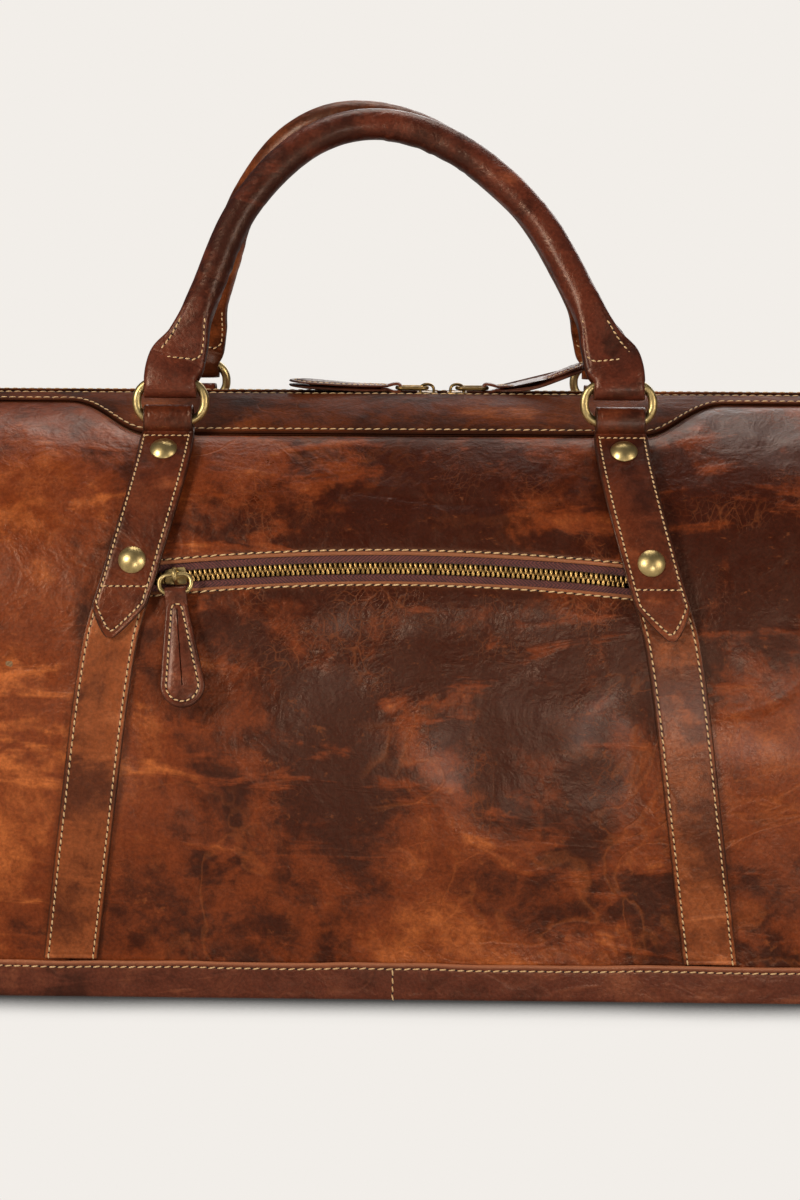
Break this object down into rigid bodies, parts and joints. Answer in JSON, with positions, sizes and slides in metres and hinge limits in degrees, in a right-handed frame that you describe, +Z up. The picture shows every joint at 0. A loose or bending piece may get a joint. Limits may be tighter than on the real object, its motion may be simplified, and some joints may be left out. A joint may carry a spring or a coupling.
{
  "type": "weekender bag",
  "caption": "Leather weekender bag with rolled twin handles on ring hardware, a zipped top and a zipped front pocket.",
  "frame": {"origin": "middle of the flat base, where the bag stands", "axes": "+X along the bag's length, to the right seen from the pocket side; +Y from the pocket side to the rear; +Z up"},
  "size_m": [0.564, 0.2644, 0.4512],
  "materials": {
    "body_leather": "glossy pull-up leather, mottled tan to dark brown",
    "strap_leather": "dark reddish brown bridle leather with painted edges",
    "strip_leather": "lighter tan leather, creased",
    "base_leather": "dark reddish brown leather with a turned tan edge",
    "band_leather": "dark brown leather with a painted edge",
    "handle_leather": "rolled leather, glossy, finely wrinkled",
    "pull_leather": "two layers, stitched and edge painted",
    "hardware": "antique brushed brass",
    "zip_metal": "antique brass zip teeth and sliders",
    "zip_tape": "dark maroon-brown herringbone tape",
    "lining": "plain cotton twill",
    "base_board": "stiffening board",
    "handle_core": "rubber cord core"
  },
  "bodies": {
    "bag_body": {"base_panel": "base_leather", "base_board": "base_board", "front_panel_upper": "body_leather", "front_pocket_panel": "body_leather", "rear_panel": "body_leather", "front_left_wing": "body_leather", "front_right_wing": "body_leather", "rear_left_wing": "body_leather", "rear_right_wing": "body_leather", "left_end_panel": "body_leather", "right_end_panel": "body_leather", "top_band_front": "band_leather", "top_band_rear": "band_leather", "lining": "lining", "pocket_lining": "lining", "main_zip_tape": "zip_tape", "main_zip_teeth": "zip_metal", "pocket_zip_tape": "zip_tape", "pocket_zip_teeth": "zip_metal", "front_rivets": "hardware", "rear_rivets": "hardware", "left_ring_tab": "strap_leather", "right_ring_tab": "strap_leather", "front_left_strip": "strip_leather", "front_left_strap": "strap_leather", "front_right_strip": "strip_leather", "front_right_strap": "strap_leather", "rear_left_strip": "strip_leather", "rear_left_strap": "strap_leather", "rear_right_strip": "strip_leather", "rear_right_strap": "strap_leather"},
    "front_ring_left": {"front_left_ring": "hardware"},
    "front_ring_right": {"front_right_ring": "hardware"},
    "front_handle": {"front_handle_grip": "handle_leather", "front_handle_core": "handle_core", "front_handle_left_end": "handle_leather", "front_handle_right_end": "handle_leather"},
    "rear_ring_left": {"rear_left_ring": "hardware"},
    "rear_ring_right": {"rear_right_ring": "hardware"},
    "rear_handle": {"rear_handle_grip": "handle_leather", "rear_handle_core": "handle_core", "rear_handle_left_end": "handle_leather", "rear_handle_right_end": "handle_leather"},
    "left_d_ring": {"left_d_ring": "hardware"},
    "right_d_ring": {"right_d_ring": "hardware"},
    "main_slider_left": {"main_slider_left": "zip_metal"},
    "main_link_left": {"main_link_left": "zip_metal"},
    "main_pull_left": {"main_pull_left": "pull_leather"},
    "main_slider_right": {"main_slider_right": "zip_metal"},
    "main_link_right": {"main_link_right": "zip_metal"},
    "main_pull_right": {"main_pull_right": "pull_leather"},
    "pocket_slider": {"pocket_slider": "zip_metal"},
    "pocket_link": {"pocket_link": "zip_metal"},
    "pocket_pull": {"pocket_pull": "pull_leather"}
  },
  "joints": [
    {"name": "front_ring_left_hinge", "type": "hinge", "parent": "bag_body", "child": "front_ring_left", "pos_m": [-0.1143, -0.063, 0.288], "axis": [1, 0, 0], "range_deg": [0, 42]},
    {"name": "front_ring_right_hinge", "type": "hinge", "parent": "bag_body", "child": "front_ring_right", "pos_m": [0.1143, -0.063, 0.288], "axis": [1, 0, 0], "range_deg": [0, 42]},
    {"name": "front_handle_hinge", "type": "hinge", "parent": "front_ring_left", "child": "front_handle", "pos_m": [-0.1143, -0.06022, 0.3078], "axis": [1, 0, 0], "range_deg": [0, 64]},
    {"name": "rear_ring_left_hinge", "type": "hinge", "parent": "bag_body", "child": "rear_ring_left", "pos_m": [-0.1143, 0.063, 0.288], "axis": [-1, 0, 0], "range_deg": [0, 42]},
    {"name": "rear_ring_right_hinge", "type": "hinge", "parent": "bag_body", "child": "rear_ring_right", "pos_m": [0.1143, 0.063, 0.288], "axis": [-1, 0, 0], "range_deg": [0, 42]},
    {"name": "rear_handle_hinge", "type": "hinge", "parent": "rear_ring_left", "child": "rear_handle", "pos_m": [-0.1143, 0.06022, 0.3078], "axis": [-1, 0, 0], "range_deg": [0, 64]},
    {"name": "left_d_ring_hinge", "type": "hinge", "parent": "bag_body", "child": "left_d_ring", "pos_m": [-0.2769, 0, 0.239], "axis": [0, 1, 0], "range_deg": [0, 120]},
    {"name": "right_d_ring_hinge", "type": "hinge", "parent": "bag_body", "child": "right_d_ring", "pos_m": [0.2769, 0, 0.239], "axis": [0, -1, 0], "range_deg": [0, 120]},
    {"name": "main_slider_left_slide", "type": "slide", "parent": "bag_body", "child": "main_slider_left", "axis": [-1, 0, 0], "range_m": [0, 0.224]},
    {"name": "main_link_left_hinge", "type": "hinge", "parent": "main_slider_left", "child": "main_link_left", "pos_m": [0.016, 0, 0.30005], "axis": [0, 1, 0], "range_deg": [0, 70]},
    {"name": "main_pull_left_hinge", "type": "hinge", "parent": "main_link_left", "child": "main_pull_left", "pos_m": [0, 0, 0.30005], "axis": [0, 1, 0], "range_deg": [0, 15]},
    {"name": "main_slider_right_slide", "type": "slide", "parent": "bag_body", "child": "main_slider_right", "axis": [1, 0, 0], "range_m": [0, 0.176]},
    {"name": "main_link_right_hinge", "type": "hinge", "parent": "main_slider_right", "child": "main_link_right", "pos_m": [0.032, 0, 0.30005], "axis": [0, -1, 0], "range_deg": [0, 70]},
    {"name": "main_pull_right_hinge", "type": "hinge", "parent": "main_link_right", "child": "main_pull_right", "pos_m": [0.048, 0, 0.30005], "axis": [0, -1, 0], "range_deg": [0, 15]},
    {"name": "pocket_slider_travel", "type": "hinge", "parent": "bag_body", "child": "pocket_slider", "pos_m": [0, -0.4849, -0.82307], "axis": [0, 0.9393, -0.343], "range_deg": [0, 10.9]},
    {"name": "pocket_link_hinge", "type": "hinge", "parent": "pocket_slider", "child": "pocket_link", "pos_m": [-0.1076, -0.11296, 0.21674], "axis": [-0.9953, -0.0333, -0.0911], "range_deg": [0, 80]},
    {"name": "pocket_pull_hinge", "type": "hinge", "parent": "pocket_link", "child": "pocket_pull", "pos_m": [-0.10673, -0.11604, 0.20832], "axis": [-0.9953, -0.0333, -0.0911], "range_deg": [0, 60]}
  ],
  "couplings": [
    {"joint": "front_ring_right_hinge", "follows": "front_ring_left_hinge", "ratio": 1},
    {"joint": "rear_ring_right_hinge", "follows": "rear_ring_left_hinge", "ratio": 1}
  ]
}
